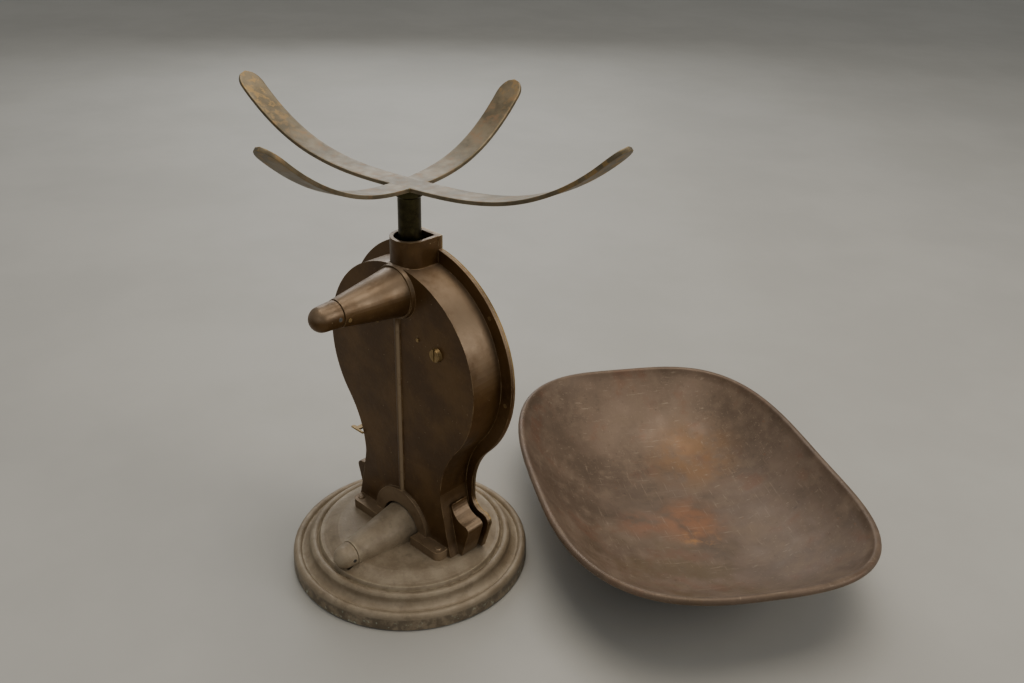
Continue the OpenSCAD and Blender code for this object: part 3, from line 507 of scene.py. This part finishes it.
# A flat disc of rings, drawn in from the rim to a closed middle
deselect_all()
bpy.ops.mesh.primitive_circle_add(vertices=AROUND, radius=1, fill_type="NOTHING")
pan = bpy.context.object
pan.name = "weighing_pan"
bpy.ops.object.mode_set(mode="EDIT")
bpy.ops.mesh.select_all(action="SELECT")
for ring in range(RINGS - 1):
    bpy.ops.mesh.extrude_region_move()
    shrink = (RINGS - ring - 1) / (RINGS - ring)
    bpy.ops.transform.resize(value=(shrink, shrink, 1), center_override=(0, 0, 0))
bpy.ops.mesh.extrude_region_move()
bpy.ops.mesh.merge(type="CENTER")
bpy.ops.mesh.select_all(action="DESELECT")
bpy.ops.object.mode_set(mode="OBJECT")
# More rings outside the rim, for the rolled edge
for edge in pan.data.edges:
    edge.select = all(pan.data.vertices[i].co.length > 0.999 for i in edge.vertices)
bpy.ops.object.mode_set(mode="EDIT")
bpy.ops.mesh.select_mode(type="EDGE")
for ring in range(CURL):
    bpy.ops.mesh.extrude_region_move()
    grow = (1 + CURL_STEP * (ring + 1)) / (1 + CURL_STEP * ring)
    bpy.ops.transform.resize(value=(grow, grow, 1), center_override=(0, 0, 0))
bpy.ops.object.mode_set(mode="OBJECT")
# Press the disc to the pan's shape, with shallow dents that die out at the rim
for vertex in pan.data.vertices:
    s = vertex.co.to_2d().length
    angle = math.atan2(vertex.co.y, vertex.co.x)
    if s <= 1.0005:
        place_mm = bowl(min(s, 1.0), angle)
        dents = DENT * noise.noise(Vector((place_mm.x / 34, place_mm.y / 34, 3.1)))
        dents += SMALL_DENT * noise.noise(Vector((place_mm.x / 13, place_mm.y / 13, 7.7)))
        place_mm.z += dents * (1 - s ** 6)
    else:
        # Round the rolled edge: over the top and down outside
        rim = bowl(1.0, angle)
        ahead = bowl(1.0, angle + 0.02) - bowl(1.0, angle - 0.02)
        out = Vector((ahead.y, -ahead.x, 0)).normalized()
        over = math.radians(ROLL_TURN * (s - 1) / (CURL_STEP * CURL))
        place_mm = rim + ROLL * ((1 - math.cos(over)) * out + Vector((0, 0, math.sin(over))))
    vertex.co = place_mm * MM
bpy.ops.object.mode_set(mode="EDIT")
bpy.ops.mesh.select_all(action="SELECT")
bpy.ops.mesh.normals_make_consistent(inside=False)
bpy.ops.object.mode_set(mode="OBJECT")
# The open sheet has to face up before it gets its thickness
if sum(f.normal.z * f.area for f in pan.data.polygons) < 0:
    pan.data.flip_normals()
harden(pan, [("SOLIDIFY", {"thickness": SHEET * MM, "offset": 1.0})])
pan.matrix_world = (Matrix.Translation(Vector(PAN_AT) * MM)
                    @ Matrix.Rotation(math.radians(PAN_TURN), 4, "Z")
                    @ Matrix.Rotation(-math.radians(PAN_ROCK), 4, "Y"))
settle(pan)
# Stand it on the table, whatever the dents and the rocking did
lowest = min(v.co.z for v in pan.data.vertices)
for vertex in pan.data.vertices:
    vertex.co.z -= lowest
bpy.ops.object.shade_smooth()

# Browned sheet brass: clouds of grey brown and olive, small red and dark spots,
# soft orange patches worn through near the middle, and scratches both ways, which
# are drawn wider than real ones so that they show
pan_brass = aged(
    "browned_sheet_brass", "5e4e40",
    [("6f5d4e", 60, 0.36, 0.64, 1.0),
     ("7d6b5a", 20, 0.44, 0.74, 0.65),
     ("5c4b30", 48, 0.48, 0.66, 0.6, ((110, -40, 20), 0.140, 0.040)),
     ("6f4a36", 33, 0.54, 0.72, 0.45),
     ("40352a", 6, 0.60, 0.76, 0.45),
     ("80573c", 7, 0.66, 0.74, 0.4),
     ("8f6040", 20, 0.30, 0.58, 0.68, ((0, 12, 3), 0.044, 0.010)),
     ("855a42", 16, 0.32, 0.60, 0.6, ((-3, -35, 3), 0.028, 0.006)),
     ("84603a", 26, 0.32, 0.60, 0.6, ((-90, 48, 14), 0.060, 0.016)),
     ("a97a48", 9, 0.48, 0.64, 0.65, ((30, 13, 4), 0.024, 0.005)),
     ("9c8a76", (1.6, 0.05, 1, 1), 0.60, 0.70, 0.4),
     ("a0907c", (2.2, 1, 0.07, 1), 0.60, 0.70, 0.4),
     ("453a2f", (3, 0.2, 0.8, 1), 0.62, 0.74, 0.4),
     ("a08662", 6, 0.30, 0.55, 0.45, ("edge", 1.0))],
    gloss=(0.42, 0.60, 20), metal=0.38, skin=(5, 0.06), edge_mm=0.3,
    centre=PAN_AT, turn=PAN_TURN)
wear(pan, pan_brass, "pan", "pan")
dress(pan_brass, "pan")

# ---- Table, light and camera -----------------------------------------------
# A plain pale surface under the foot and the pan, in a pale room.  A broad soft
# light hangs overhead, with weaker ones at the sides.
TABLE_SIZE, TABLE_DROP = 8, 0.0005
ROOM_LIGHT = 0.55
AIM_HEIGHT = 0.15
deselect_all()
bpy.ops.mesh.primitive_plane_add(size=TABLE_SIZE, location=(0, 0, -TABLE_DROP))
table = bpy.context.object
table.name = "table"
# Matt paint: even, with hardly any sheen
table.data.materials.append(aged(
    "pale_table_paint", "aaa9a4", [("b0afaa", 300, 0.35, 0.65, 1.0)],
    gloss=(0.58, 0.64, 50), metal=0.0, skin=(2, 0.01)))

sky = bpy.data.worlds.new("pale_room")
sky.use_nodes = True
sky.node_tree.nodes["Background"].inputs["Color"].default_value = paint("b9b9b6")
sky.node_tree.nodes["Background"].inputs["Strength"].default_value = ROOM_LIGHT
bpy.context.scene.world = sky


def lamp(name, where, size, power, tint):
    """A square light of size metres and power watts, aimed at the balance."""
    light = bpy.data.lights.new(name, "AREA")
    light.size = size
    light.energy = power
    light.color = paint(tint)[:3]
    holder = bpy.data.objects.new(name, light)
    bpy.context.scene.collection.objects.link(holder)
    holder.location = where
    aim = Vector((0, 0, AIM_HEIGHT)) - Vector(where)
    holder.rotation_euler = aim.to_track_quat("-Z", "Y").to_euler()


lamp("ceiling_panel", (-0.1, -0.3, 1.9), 1.4, 22, "fff4e4")
lamp("side_window", (-1.9, -0.9, 1.1), 1.0, 12, "fbf4ea")
lamp("back_window", (-0.9, 1.7, 1.2), 1.2, 2, "f4f6fa")
lamp("wall_bounce", (1.4, -1.2, 1.0), 1.2, 11, "f2f2f0")

# The camera looks down by pitch, turned from +Y by heading, and rolled a little
CAMERA_AT = (-0.5370, 0.4577, 0.5765)
FILM_W, FOCAL, FRAME_W = 36, 1003.3, 1024
pitch, heading, roll = map(math.radians, (27.62, 222.73, 1.648))
level = Vector((-math.sin(heading), math.cos(heading), 0))
forward = math.cos(pitch) * level + Vector((0, 0, -math.sin(pitch)))
right = Vector((math.cos(heading), math.sin(heading), 0))
up = right.cross(forward)
rolled_right = math.cos(roll) * right + math.sin(roll) * up
rolled_up = -math.sin(roll) * right + math.cos(roll) * up
camera = bpy.data.objects.new("camera", bpy.data.cameras.new("camera"))
bpy.context.scene.collection.objects.link(camera)
camera.data.lens = FILM_W * FOCAL / FRAME_W
camera.matrix_world = (Matrix.Translation(CAMERA_AT)
                       @ Matrix((rolled_right, rolled_up, -forward)).transposed().to_4x4())
bpy.context.scene.camera = camera
